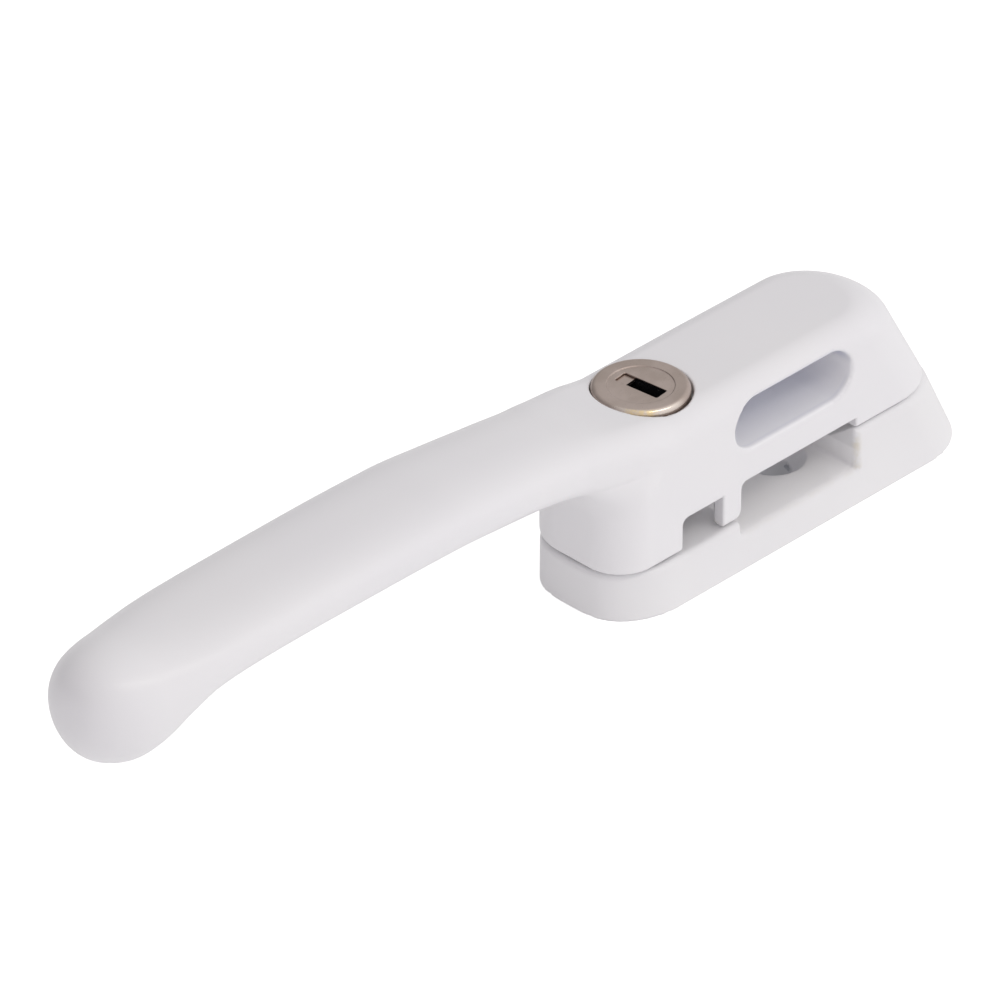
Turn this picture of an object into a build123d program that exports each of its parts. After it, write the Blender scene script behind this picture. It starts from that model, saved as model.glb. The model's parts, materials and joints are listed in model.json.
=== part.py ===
from build123d import *
import math
import os

# Keyed casement handle lock. Millimetres. Origin on the mounting face at the
# handle pivot axis, +Z away from the sash, lever towards -X, slotted side -Y.
# "Left" means the -X end. Cuts that leave the metal overshoot by a round amount.

# ---- base plate ---------------------------------------------------------
base_left0 = -54.5          # left end at the mounting face
base_left1 = -54.9          # left end at the loft top
base_half_w0 = 10.75        # half width at the mounting face
base_half_w1 = 10.1         # half width at the loft top
base_nose_x0 = 6.0          # centre of the round end at the mounting face
base_nose_x1 = 0.7          # centre of the round end at the loft top
base_bow_r = 24.0           # plan radius of the bowed left end
base_corner_r = 6.4         # its corners
base_loft_h = 12.0
deck_z = 7.45               # low deck under the handle
recess_z = 5.55             # floor of the keep recess
boss_z = 11.6               # raised pivot boss
recess_x0, recess_x1 = -31.5, -8.8
boss_rim_r, deck_rim_r, recess_rim_r = 0.4, 0.6, 0.9
screw_pitch = 34.0
screw_x = -14.7             # fixing hole in the recess
screw_through_r = 2.65
screw_csk_r = 4.7
screw_csk_angle = 90

# slotted keeper post standing on the low deck
lock_x = -40.7              # lock axis
post_r = 2.6
post_bore_r = 1.9
post_slot_w = 2.2
post_top = 12.4
post_root = 1.0             # how far the post starts below the deck

# ---- handle -------------------------------------------------------------
body_left = -54.7
body_half_w = 9.9
body_top = 28.5
body_low = 7.92             # underside of the low part
body_seam = 11.85           # underside over the boss
body_corner_slotted = 5.9   # left corner radius on the slotted side
body_corner_plain = 7.8     # left corner radius on the plain side
nose_slope = 0.575          # lean of the round end, run over rise
nose_x = 0.75               # its centre at the height of the base loft top
top_fillet = 4.0
wall = 2.05
inner_half_w = body_half_w - wall
notch_x0, notch_x1, notch_z = -42.6, -34.8, 12.9
slot_x0, slot_x1, slot_z = -31.2, -8.7, 13.45
slot_corner_r = 1.0
leg_x0 = -38.0              # left end of the opening behind the leg
leg_depth = 1.95            # leg between the notch and the keep slot
cavity_x1, cavity_z, cavity_corner_r = -9.3, 16.4, 0.8
pocket_x0, pocket_x1 = -32.5, -9.7
pocket_z0, pocket_z1 = 18.3, 25.95
pocket_depth = 12.6
flare, flare_depth, flare_over = 0.5, 0.45, 0.05
end_pocket_l, end_pocket_w, end_pocket_top = 3.1, 10.5, 17.5
end_pocket_corner_r = 1.0
way_r0, way_r1 = 36.42, 43.93    # way for the keeper post, radii about the pivot
way_y1, way_span = 4.2, 16.0     # its +Y limit and the X span it is trimmed to
boss_sweep_r = 14.2

# ---- lock cylinder ------------------------------------------------------
seat_z = 26.2               # shoulder the barrel flange sits on
barrel_r = 6.3
barrel_clearance = 0.05
barrel_bottom = 14.0
barrel_bevel = 0.3
flange_r, flange_h = 6.95, 1.05
face_bore_r = flange_r + 0.1
groove_w, groove_l = 6.2, 11.3   # wafer grooves in the barrel
groove_margin = 0.5              # their reach past the end wafers
plug_r = 4.65
plug_clearance = 0.05
plug_bottom = 13.1
plug_head_z = 26.6
plug_head_r = 5.6
plug_cap_r = 6.4            # head above the barrel flange, inside the scalp
plug_cap_top = 28.8
scalp_r = 6.8
scalp_z0, scalp_top = 27.3, 29.25
scalp_rim_r = 0.75
scalp_inner_r = 6.45
scalp_inner_z = 28.85
coin_r, coin_depth, coin_bevel = 4.6, 0.12, 0.07
key_slot_l, key_slot_w = 7.2, 2.3
key_slot_corner_r, key_slot_bevel = 0.25, 0.15
key_slot_turn = 6.0         # angle of the key slot off the Y axis, degrees
keyway_floor, keyway_corner_r = 16.2, 0.2
wafer_t = 0.8
wafer_pitch = 1.7
wafer_z0 = 17.4
wafer_half_w = 3.0
wafer_cross_l = 12.0        # long enough to cross the plug
wafer_bits = (0.0, 0.25, -0.15, 0.35, 0.1)   # shift of each window's +Y edge
window_w, window_corner_r = 2.9, 0.3
window_y0, window_y1 = 3.55, 1.7             # window reach to -Y and to +Y
lug_x1 = 3.85               # lug the spring pushes on
lug_root = 0.4              # its overlap with the wafer body
lug_y0, lug_y1 = -1.2, -0.6
lug_clearance = 0.75        # room for the lug to move to -Y
spring_x = 3.55
spring_x1 = 4.05
spring_y1 = 1.8
spring_end_gap = 0.1
spring_turns = 5
spring_mean_r = 0.35
spring_wire_r = 0.08
shutter_half_w, shutter_corner_r = 1.3, 0.2
shutter_y0, shutter_y1 = 1.95, 4.4
shutter_z0, shutter_z1 = 28.3, 28.8
shutter_guide_y0, shutter_guide_y1 = 0.6, 6.6
plug_clip_z0, plug_clip_z1 = 13.35, 13.95
plug_groove_r = 4.0
clip_fit = 0.03             # slack of both clips and the shutter in their grooves
plug_clip_r = 5.7
plug_clip_mouth_w = 3.2
tongue_w, tongue_l = 1.5, 3.4
tongue_bottom, tongue_top = 8.3, 15.6
tongue_corner_r, tongue_bevel = 0.15, 0.12
tongue_fit = 0.04           # total slack across the tongue pocket
tongue_pin_r, tongue_pin_z, tongue_pin_l = 0.5, 14.75, 8.8
cross_hole_l = 12.0         # hole for the tongue pin, through the plug
pin_r, pin_z = 0.8, 15.4    # barrel pin
pin_y0, pin_y1 = 5.4, 9.3

# ---- pivot --------------------------------------------------------------
spindle_r = 4.0
spindle_top = 19.5
spindle_bottom = 1.0
spindle_bevel = 0.4
spindle_groove_r = 3.6
groove_drop = 0.05          # groove reach below the circlip
bush_r, bush_fit, bush_bevel = 5.25, 0.03, 0.25
under_bore_r = 8.0
under_bore_z = 5.0
washer_fit = 0.08
thrust_washer_r = 7.6
flat_washer_r, flat_washer_bevel = 7.0, 0.12
flat_washer_top = 3.75
disc_r0, disc_r1, disc_t = 4.15, 7.4, 0.5
clip_z0, clip_z1 = 2.05, 2.95
clip_r, clip_shift = 5.3, -0.25
clip_ear_x, clip_ear_y, clip_ear_r = 4.6, 1.75, 1.1
clip_eye_x, clip_eye_r = 4.75, 0.5
clip_gap_x0, clip_gap_x1, clip_gap_w = 1.8, 7.2, 1.6

# lever sections: x, width, top, underside, squareness of the section
lever_rows = [
    (-45.5, 15.6, 26.8, 20.8, 2.6),
    (-49.5, 19.1, 29.3, 20.0, 2.8),
    (-54.0, 18.9, 30.4, 19.7, 2.75),
    (-57.2, 18.2, 31.1, 20.9, 2.65),
    (-60.5, 17.6, 31.60, 22.3, 2.6),
    (-66.0, 17.7, 32.35, 23.4, 2.55),
    (-75.0, 18.2, 33.25, 24.35, 2.5),
    (-84.0, 18.7, 33.90, 25.1, 2.5),
    (-95.0, 18.8, 34.00, 25.3, 2.5),
    (-106.0, 18.7, 33.9, 25.3, 2.5),
    (-116.0, 18.6, 33.75, 25.15, 2.5),
    (-122.0, 18.6, 33.65, 24.8, 2.45),
    (-127.0, 18.5, 33.65, 23.9, 2.35),
    (-131.5, 18.3, 33.75, 21.6, 2.25),
    (-136.0, 17.8, 33.95, 18.8, 2.15),
    (-140.0, 16.2, 34.0, 17.95, 2.05),
    (-143.1, 12.9, 33.3, 19.1, 2.0),
    (-145.2, 9.0, 31.8, 21.3, 2.0),
    (-146.3, 4.3, 29.6, 23.9, 2.0),
]
lever_widest = 0.46         # depth of the widest line below the top, share of height
lever_point_count = 28

# Upright frames at the lock axis: one square to the base, one turned with the key slot
square_plane = Plane(origin=(lock_x, 0, 0))
turn = math.radians(key_slot_turn)
lock_plane = Plane(
    origin=(lock_x, 0, 0), x_dir=(math.cos(turn), math.sin(turn), 0), z_dir=(0, 0, 1)
)
wafer_levels = [wafer_z0 + wafer_pitch * i for i in range(len(wafer_bits))]


# ---- helpers ------------------------------------------------------------
def span_rectangle(x0, x1, y0, y1, corner_r=0, mode=Mode.ADD):
    """Rectangle between limits, added to the open sketch."""
    with Locations(((x0 + x1) / 2, (y0 + y1) / 2)):
        if corner_r:
            RectangleRounded(x1 - x0, y1 - y0, corner_r, mode=mode)
        else:
            Rectangle(x1 - x0, y1 - y0, mode=mode)


def section_points(width, top, under, squareness):
    """Closed rounded section in local (y, z), widest a little above the middle."""
    middle = top - (top - under) * lever_widest
    points = []
    for i in range(lever_point_count):
        angle = 2 * math.pi * i / lever_point_count - math.pi / 2
        cosine, sine = math.cos(angle), math.sin(angle)
        across = math.copysign(abs(cosine) ** (2 / squareness), cosine)
        up = math.copysign(abs(sine) ** (2 / squareness), sine)
        half_height = (top - middle) if sine > 0 else (middle - under)
        points.append((width / 2 * across, middle + up * half_height))
    return points


def bow_joint(left, half_w):
    """Bowed end in plan: corner centre x, and the point where bow and corner meet."""
    centre_gap = base_bow_r - base_corner_r
    span = math.sqrt(centre_gap ** 2 - (half_w - base_corner_r) ** 2)
    ratio = base_bow_r / centre_gap
    bow_x = left + base_bow_r
    return bow_x - span, bow_x - span * ratio, (half_w - base_corner_r) * ratio


def make_ring(outer_r, inner_r, bottom, top, bevel_r=0, bevel=0):
    """Flat ring on the pivot axis; bevel_r picks the radius whose two edges are bevelled."""
    with BuildPart() as ring:
        with BuildSketch(Plane.XY.offset(bottom)):
            Circle(outer_r)
            Circle(inner_r, mode=Mode.SUBTRACT)
        extrude(amount=top - bottom)
        if bevel:
            chamfer(ring.edges().filter_by(
                lambda e: e.geom_type == GeomType.CIRCLE and abs(e.radius - bevel_r) < 0.01
            ), length=bevel)
    return ring.part


def make_pin(plane, centre, radius, length, bevel):
    """Bevelled pin; a negative length runs against the plane's normal."""
    with BuildPart() as pin:
        with BuildSketch(plane):
            with Locations(centre):
                Circle(radius)
        extrude(amount=length)
        chamfer(pin.edges().filter_by(GeomType.CIRCLE), length=bevel)
    return pin.part


# ---- base plate and handle ----------------------------------------------
def make_base_plate():
    with BuildPart() as base_plate:
        for z, half_w, nose, left in (
            (0.0, base_half_w0, base_nose_x0, base_left0),
            (base_loft_h, base_half_w1, base_nose_x1, base_left1),
        ):
            corner_x, joint_x, joint_y = bow_joint(left, half_w)
            with BuildSketch(Plane.XY.offset(z)):
                with BuildLine():
                    side = Line((nose, -half_w), (corner_x, -half_w))
                    corner = RadiusArc(side @ 1, (joint_x, -joint_y), base_corner_r)
                    bow = ThreePointArc(corner @ 1, (left, 0), (joint_x, joint_y))
                    corner = RadiusArc(bow @ 1, (corner_x, half_w), base_corner_r)
                    side = Line(corner @ 1, (nose, half_w))
                    ThreePointArc(side @ 1, (nose + half_w, 0), (nose, -half_w))
                make_face()
        loft()
        # boss height
        with BuildSketch(Plane.XY.offset(boss_z)):
            Rectangle(80, 40)
        extrude(amount=5, mode=Mode.SUBTRACT)
        # low deck and keep recess, both open on the long sides
        with BuildSketch(Plane.XZ.offset(-20)):
            with BuildLine():
                Polyline(
                    (base_left1 - 2, deck_z), (recess_x0, deck_z), (recess_x0, recess_z),
                    (recess_x1, recess_z), (recess_x1, 14), (base_left1 - 2, 14), close=True,
                )
            make_face()
        extrude(amount=40, mode=Mode.SUBTRACT)

        def level_edges(z):
            return base_plate.edges().filter_by(
                lambda e: abs(e.center().Z - z) < 0.02
                and abs(e.bounding_box().max.Z - e.bounding_box().min.Z) < 0.01
            )

        # soft rims: boss top, low deck, recess floor along its two open sides
        fillet(level_edges(boss_z), radius=boss_rim_r)
        fillet(level_edges(deck_z), radius=deck_rim_r)
        fillet(level_edges(recess_z).filter_by(lambda e: abs(e.center().Y) > 9),
               radius=recess_rim_r)
        # keeper post: ring slotted towards +Y that holds the plug's tongue
        with BuildSketch(square_plane.offset(deck_z - post_root)):
            Circle(post_r)
        extrude(amount=post_top - deck_z + post_root)
        with BuildSketch(square_plane.offset(deck_z)):
            Circle(post_bore_r)
            span_rectangle(-post_slot_w / 2, post_slot_w / 2, 0, 6)
        extrude(amount=10, mode=Mode.SUBTRACT)
        # two countersunk fixing holes
        for x, face_z in ((screw_x, recess_z), (screw_x - screw_pitch, deck_z)):
            with Locations(Plane(origin=(x, 0, face_z))):
                CounterSinkHole(radius=screw_through_r, counter_sink_radius=screw_csk_r,
                                counter_sink_angle=screw_csk_angle)
        # bore for the pivot bush and the washer chamber under it
        for radius, height in ((bush_r, boss_z + 1), (under_bore_r, under_bore_z)):
            with BuildSketch(Plane.XY):
                Circle(radius)
            extrude(amount=height, mode=Mode.SUBTRACT)
    return base_plate.part


def make_handle():
    pocket_centre = ((pocket_x0 + pocket_x1) / 2, (pocket_z0 + pocket_z1) / 2)
    pocket_l, pocket_h = pocket_x1 - pocket_x0, pocket_z1 - pocket_z0
    slotted_end = body_left + body_corner_slotted
    plain_end = body_left + body_corner_plain
    with BuildPart() as handle:
        # body block with its leaning round end
        for z in (body_low, body_top):
            nose = nose_x - nose_slope * (z - base_loft_h)
            with BuildSketch(Plane.XY.offset(z)):
                with BuildLine():
                    side = Line((nose, -body_half_w), (slotted_end, -body_half_w))
                    corner = RadiusArc(side @ 1, (body_left, -body_half_w + body_corner_slotted),
                                       body_corner_slotted)
                    end = Line(corner @ 1, (body_left, body_half_w - body_corner_plain))
                    corner = RadiusArc(end @ 1, (plain_end, body_half_w), body_corner_plain)
                    side = Line(corner @ 1, (nose, body_half_w))
                    ThreePointArc(side @ 1, (nose + body_half_w, 0), (nose, -body_half_w))
                make_face()
        loft()
        fillet(handle.faces().sort_by(Axis.Z)[-1].edges(), radius=top_fillet)
        # lever
        for x, width, top, under, squareness in lever_rows:
            with BuildSketch(Plane(origin=(x, 0, 0), x_dir=(0, 1, 0), z_dir=(1, 0, 0))):
                with BuildLine():
                    Spline(section_points(width, top, under, squareness), periodic=True)
                make_face()
        loft()
        # underside over the boss, and the clearance its corners need as the handle swings
        with BuildSketch(Plane.XY):
            span_rectangle(slot_x1, slot_x1 + 40, -20, 20)
            Circle(boss_sweep_r)
        extrude(amount=body_seam, mode=Mode.SUBTRACT)
        # keep slot in the slotted side, one corner rounded
        with BuildSketch(Plane.XZ.offset(inner_half_w)) as keep_slot:
            span_rectangle(slot_x0, slot_x1, 0, slot_z)
            fillet(keep_slot.vertices().sort_by(Axis.Z)[-2:].sort_by(Axis.X)[0],
                   radius=slot_corner_r)
        extrude(amount=6, mode=Mode.SUBTRACT)
        # hollow behind it
        with BuildSketch(Plane.XY):
            span_rectangle(slot_x0, cavity_x1, -inner_half_w, inner_half_w, cavity_corner_r)
        extrude(amount=cavity_z, mode=Mode.SUBTRACT)
        # small notch and the curved way for the keeper post
        with BuildSketch(Plane.XZ.offset(inner_half_w)) as post_notch:
            span_rectangle(notch_x0, notch_x1, 0, notch_z)
            fillet(post_notch.vertices().sort_by(Axis.Z)[-2:].sort_by(Axis.X)[0],
                   radius=slot_corner_r)
        extrude(amount=6, mode=Mode.SUBTRACT)
        with BuildSketch(Plane.XY):
            Circle(way_r1)
            Circle(way_r0, mode=Mode.SUBTRACT)
            span_rectangle(lock_x - way_span / 2, lock_x + way_span / 2,
                           -inner_half_w, way_y1, mode=Mode.INTERSECT)
        extrude(amount=notch_z, mode=Mode.SUBTRACT)
        # the way opens into the hollow behind the leg
        with BuildSketch(Plane.XY):
            span_rectangle(leg_x0, slot_x0, leg_depth - body_half_w, way_y1)
        extrude(amount=notch_z, mode=Mode.SUBTRACT)
        # lightening pocket at the lever end of the body
        with BuildSketch(Plane.XY):
            span_rectangle(body_left + wall, body_left + wall + end_pocket_l,
                           -end_pocket_w / 2, end_pocket_w / 2, end_pocket_corner_r)
        extrude(amount=end_pocket_top, mode=Mode.SUBTRACT)
        # stadium pocket in the slotted side, blind
        with BuildSketch(Plane.XZ.offset(body_half_w - pocket_depth)):
            with Locations(pocket_centre):
                SlotOverall(pocket_l, pocket_h)
        extrude(amount=pocket_depth + 5, mode=Mode.SUBTRACT)
        # lock bore with a wider seat for the lock face
        for bottom, radius, depth in (
            (notch_z, barrel_r + barrel_clearance, 30),
            (seat_z, face_bore_r, 10),
        ):
            with BuildSketch(square_plane.offset(bottom)):
                Circle(radius)
            extrude(amount=depth, mode=Mode.SUBTRACT)
        # cross hole for the barrel pin, from the plain side
        with BuildSketch(Plane.XZ.offset(-5.0)):
            with Locations((lock_x, pin_z)):
                Circle(pin_r)
        extrude(amount=-8, mode=Mode.SUBTRACT)
        # blind hole for the pivot spindle
        with BuildSketch(Plane.XY.offset(body_seam - 1)):
            Circle(spindle_r)
        extrude(amount=spindle_top - body_seam + 1, mode=Mode.SUBTRACT)
        # flared mouth of the stadium pocket
        for out_y, grow in ((body_half_w - flare_depth, 0.0), (body_half_w + flare_over, flare)):
            with BuildSketch(Plane.XZ.offset(out_y)):
                with Locations(pocket_centre):
                    SlotOverall(pocket_l + 2 * grow, pocket_h + 2 * grow)
        loft(mode=Mode.SUBTRACT)
    return handle.part


# ---- pivot --------------------------------------------------------------
def make_pivot_spindle():
    with BuildPart() as spindle:
        with BuildSketch(Plane.XY.offset(spindle_bottom)):
            Circle(spindle_r)
        extrude(amount=spindle_top - spindle_bottom)
        chamfer(spindle.edges().filter_by(GeomType.CIRCLE), length=spindle_bevel)
        # circlip groove
        with BuildSketch(Plane.XY.offset(clip_z0 - groove_drop)):
            Circle(spindle_r + 1)
            Circle(spindle_groove_r, mode=Mode.SUBTRACT)
        extrude(amount=clip_z1 - clip_z0 + groove_drop, mode=Mode.SUBTRACT)
    return spindle.part


def make_disc_spring():
    """Coned disc between the flat washer and the roof of the washer chamber."""
    with BuildPart() as disc:
        with BuildSketch(Plane.XZ):
            with BuildLine():
                Polyline(
                    (disc_r0, flat_washer_top), (disc_r1, under_bore_z - disc_t),
                    (disc_r1, under_bore_z), (disc_r0, flat_washer_top + disc_t), close=True,
                )
            make_face()
        revolve(axis=Axis.Z)
    return disc.part


def make_circlip():
    """Open ring with two eyed ears, its gap towards +X."""
    with BuildPart() as circlip:
        with BuildSketch(Plane.XY.offset(clip_z0)):
            with Locations((clip_shift, 0)):
                Circle(clip_r)
            with Locations((clip_ear_x, clip_ear_y), (clip_ear_x, -clip_ear_y)):
                Circle(clip_ear_r)
            Circle(spindle_groove_r + clip_fit, mode=Mode.SUBTRACT)
            span_rectangle(clip_gap_x0, clip_gap_x1, -clip_gap_w / 2, clip_gap_w / 2,
                           mode=Mode.SUBTRACT)
            with Locations((clip_eye_x, clip_ear_y), (clip_eye_x, -clip_ear_y)):
                Circle(clip_eye_r, mode=Mode.SUBTRACT)
        extrude(amount=clip_z1 - clip_z0)
    return circlip.part


# ---- lock cylinder ------------------------------------------------------
def make_lock_barrel():
    with BuildPart() as barrel:
        for bottom, height, radius in (
            (barrel_bottom, seat_z - barrel_bottom, barrel_r),
            (seat_z, flange_h, flange_r),
        ):
            with BuildSketch(lock_plane.offset(bottom)):
                Circle(radius)
            extrude(amount=height)
        chamfer(barrel.edges().group_by(Axis.Z)[0], length=barrel_bevel)
        # plug bore, and the seat for the plug head
        for bottom, radius, depth in (
            (barrel_bottom - 1, plug_r + plug_clearance, 20),
            (plug_head_z - 0.05, plug_head_r + 0.1, 3),
        ):
            with BuildSketch(lock_plane.offset(bottom)):
                Circle(radius)
            extrude(amount=depth, mode=Mode.SUBTRACT)
        # wafer grooves for the two positions where the key comes out
        with BuildSketch(lock_plane.offset(wafer_z0 - groove_margin)):
            Rectangle(groove_w, groove_l)
            Rectangle(groove_l, groove_w)
        extrude(amount=wafer_levels[-1] - wafer_z0 + wafer_t + 2 * groove_margin,
                mode=Mode.SUBTRACT)
        # dimple for the barrel pin
        with BuildSketch(Plane.XZ.offset(-pin_y0)):
            with Locations((lock_x, pin_z)):
                Circle(pin_r)
        extrude(amount=-4, mode=Mode.SUBTRACT)
    return barrel.part


def make_lock_plug():
    with BuildPart() as plug:
        # stem, head and cap
        for bottom, top, radius in (
            (plug_bottom, plug_head_z, plug_r),
            (plug_head_z, scalp_z0, plug_head_r),
            (scalp_z0, plug_cap_top, plug_cap_r),
        ):
            with BuildSketch(lock_plane.offset(bottom)):
                Circle(radius)
            extrude(amount=top - bottom)
        # guide for the dust shutter
        guide_half_w = shutter_half_w + 0.04
        with BuildSketch(lock_plane.offset(shutter_z0 - clip_fit)):
            span_rectangle(-guide_half_w, guide_half_w, shutter_guide_y0, shutter_guide_y1)
        extrude(amount=2, mode=Mode.SUBTRACT)
        # clip groove
        with BuildSketch(lock_plane.offset(plug_clip_z0 - clip_fit)):
            Circle(plug_r + 1)
            Circle(plug_groove_r, mode=Mode.SUBTRACT)
        extrude(amount=plug_clip_z1 - plug_clip_z0 + 2 * clip_fit, mode=Mode.SUBTRACT)
        # keyway
        with BuildSketch(lock_plane.offset(keyway_floor)):
            RectangleRounded(key_slot_w + 0.05, key_slot_l + 0.2, keyway_corner_r)
        extrude(amount=20, mode=Mode.SUBTRACT)
        # wafer slots across the plug, and a spring chamber beside each
        for z in wafer_levels:
            with BuildSketch(lock_plane.offset(z - 0.05)):
                Rectangle(2 * (wafer_half_w + 0.05), wafer_cross_l)
            extrude(amount=wafer_t + 0.1, mode=Mode.SUBTRACT)
            with BuildSketch(lock_plane.offset(z - 0.1)):
                span_rectangle(wafer_half_w, spring_x1, lug_y0 - lug_clearance, spring_y1)
            extrude(amount=wafer_t + 0.2, mode=Mode.SUBTRACT)
        # pocket for the tongue in the inner end, square to the base
        with BuildSketch(square_plane.offset(plug_bottom)):
            Rectangle(tongue_w + tongue_fit, tongue_l + tongue_fit)
        extrude(amount=tongue_top - plug_bottom + 0.05, mode=Mode.SUBTRACT)
        # cross hole for the tongue pin
        with BuildSketch(Plane.YZ.offset(lock_x - cross_hole_l / 2)):
            with Locations((0, tongue_pin_z)):
                Circle(tongue_pin_r)
        extrude(amount=cross_hole_l, mode=Mode.SUBTRACT)
    return plug.part


def make_plug_scalp():
    """Thin cap over the plug head, with the key slot through it."""
    coin_z = scalp_top - coin_depth
    with BuildPart() as scalp:
        with BuildSketch(lock_plane.offset(scalp_z0)):
            Circle(scalp_r)
        extrude(amount=scalp_top - scalp_z0)
        fillet(scalp.edges().group_by(Axis.Z)[-1], radius=scalp_rim_r)
        with BuildSketch(lock_plane.offset(scalp_z0 - 1)):
            Circle(scalp_inner_r)
        extrude(amount=scalp_inner_z - scalp_z0 + 1, mode=Mode.SUBTRACT)
        # coined ring step
        with BuildSketch(lock_plane.offset(coin_z)):
            Circle(coin_r)
        extrude(amount=2, mode=Mode.SUBTRACT)
        chamfer(scalp.edges().filter_by(
            lambda e: e.geom_type == GeomType.CIRCLE and abs(e.center().Z - scalp_top) < 0.01
            and abs(e.radius - coin_r) < 0.05), length=coin_bevel)
        # key slot, its rim bevelled
        with BuildSketch(lock_plane.offset(scalp_z0 - 1)):
            RectangleRounded(key_slot_w, key_slot_l, key_slot_corner_r)
        extrude(amount=5, mode=Mode.SUBTRACT)
        chamfer(scalp.edges().filter_by(
            lambda e: abs(e.center().Z - coin_z) < 0.01
            and (e.center() - Vector(lock_x, 0, coin_z)).length < key_slot_l / 2
            and e.length < key_slot_l
        ), length=key_slot_bevel)
    return scalp.part


def make_wafer(z, bit):
    with BuildPart() as wafer:
        with BuildSketch(lock_plane.offset(z)):
            Circle(plug_r - plug_clearance)
            Rectangle(2 * wafer_half_w, wafer_cross_l, mode=Mode.INTERSECT)
            span_rectangle(wafer_half_w - lug_root, lug_x1, lug_y0, lug_y1)
            span_rectangle(-window_w / 2, window_w / 2, -window_y0, window_y1 + bit,
                           window_corner_r, Mode.SUBTRACT)
        extrude(amount=wafer_t)
    return wafer.part


def make_wafer_springs():
    """One small coil per wafer, from its lug towards +Y of the lock frame."""
    spring_l = spring_y1 - lug_y1 - 2 * spring_end_gap
    with BuildPart() as springs:
        for z in wafer_levels:
            start = lock_plane.from_local_coords(
                Vector(spring_x, lug_y1 + spring_end_gap, z + wafer_t / 2))
            with BuildLine():
                coil = Helix(pitch=spring_l / spring_turns, height=spring_l,
                             radius=spring_mean_r, center=start, direction=lock_plane.y_dir)
            with BuildSketch(Plane(origin=coil @ 0, z_dir=coil % 0)):
                Circle(spring_wire_r)
            sweep(path=coil, is_frenet=True)
    return springs.part


def make_dust_shutter():
    with BuildPart() as shutter:
        with BuildSketch(lock_plane.offset(shutter_z0)):
            span_rectangle(-shutter_half_w, shutter_half_w, shutter_y0, shutter_y1,
                           shutter_corner_r)
        extrude(amount=shutter_z1 - shutter_z0)
    return shutter.part


def make_locking_tongue():
    with BuildPart() as tongue:
        with BuildSketch(square_plane.offset(tongue_bottom)):
            RectangleRounded(tongue_w, tongue_l, tongue_corner_r)
        extrude(amount=tongue_top - tongue_bottom)
        chamfer(tongue.faces().sort_by(Axis.Z)[0].edges(), length=tongue_bevel)
        with BuildSketch(Plane.YZ.offset(lock_x - cross_hole_l / 2)):
            with Locations((0, tongue_pin_z)):
                Circle(tongue_pin_r)
        extrude(amount=cross_hole_l, mode=Mode.SUBTRACT)
    return tongue.part


def make_plug_clip():
    """C-shaped clip, its mouth towards +X."""
    with BuildPart() as clip:
        with BuildSketch(square_plane.offset(plug_clip_z0)):
            Circle(plug_clip_r)
            Circle(plug_groove_r + clip_fit, mode=Mode.SUBTRACT)
            span_rectangle(2, 8, -plug_clip_mouth_w / 2, plug_clip_mouth_w / 2,
                           mode=Mode.SUBTRACT)
        extrude(amount=plug_clip_z1 - plug_clip_z0)
    return clip.part


# ---- out ----------------------------------------------------------------
pieces = {
    "base_plate": make_base_plate(),
    "handle": make_handle(),
    "pivot_spindle": make_pivot_spindle(),
    "pivot_bush": make_ring(bush_r, spindle_r + bush_fit, under_bore_z, boss_z,
                            bevel_r=spindle_r + bush_fit, bevel=bush_bevel),
    "thrust_washer": make_ring(thrust_washer_r, spindle_r + washer_fit, boss_z, body_seam),
    "disc_spring": make_disc_spring(),
    "flat_washer": make_ring(flat_washer_r, spindle_r + washer_fit, clip_z1, flat_washer_top,
                             bevel_r=flat_washer_r, bevel=flat_washer_bevel),
    "circlip": make_circlip(),
    "lock_barrel": make_lock_barrel(),
    "lock_plug": make_lock_plug(),
    "plug_scalp": make_plug_scalp(),
    "wafer_springs": make_wafer_springs(),
    "dust_shutter": make_dust_shutter(),
    "locking_tongue": make_locking_tongue(),
    "tongue_pin": make_pin(Plane.YZ.offset(lock_x - tongue_pin_l / 2), (0, tongue_pin_z),
                           tongue_pin_r, tongue_pin_l, bevel=0.1),
    "plug_clip": make_plug_clip(),
    "barrel_pin": make_pin(Plane.XZ.offset(-pin_y0), (lock_x, pin_z),
                           pin_r, pin_y0 - pin_y1, bevel=0.15),
}
for number, (z, bit) in enumerate(zip(wafer_levels, wafer_bits), start=1):
    pieces[f"wafer_{number}"] = make_wafer(z, bit)

os.makedirs("parts", exist_ok=True)
for name, piece in pieces.items():
    piece.label = name
    export_step(piece, f"parts/{name}.step")
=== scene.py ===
"""A lever handle with a key lock, on its base plate.

The pivot axis is the z axis and the plate stands on z = 0. The round end of the handle
points to +x and the long ball-ended lever to -x. The slotted wall is on the -y side.
Shapes are worked out in millimetres, scene and shader lengths are in metres.
"""
import json
import math
from functools import cached_property

import bpy
import numpy as np
from mathutils import Matrix, Vector


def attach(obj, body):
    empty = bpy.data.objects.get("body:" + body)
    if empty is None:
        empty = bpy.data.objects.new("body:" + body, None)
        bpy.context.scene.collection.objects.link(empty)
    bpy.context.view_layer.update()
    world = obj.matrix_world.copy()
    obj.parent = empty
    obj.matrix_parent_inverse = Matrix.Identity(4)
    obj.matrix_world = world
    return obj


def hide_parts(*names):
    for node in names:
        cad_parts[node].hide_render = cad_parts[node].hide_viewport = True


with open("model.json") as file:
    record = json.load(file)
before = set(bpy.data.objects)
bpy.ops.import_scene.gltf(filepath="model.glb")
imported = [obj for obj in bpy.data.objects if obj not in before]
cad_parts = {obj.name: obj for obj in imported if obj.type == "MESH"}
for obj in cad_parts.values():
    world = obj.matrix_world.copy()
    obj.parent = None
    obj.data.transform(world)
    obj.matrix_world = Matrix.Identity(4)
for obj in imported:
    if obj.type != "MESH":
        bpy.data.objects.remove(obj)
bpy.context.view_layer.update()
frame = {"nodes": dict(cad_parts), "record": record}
scene = bpy.context.scene

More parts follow.
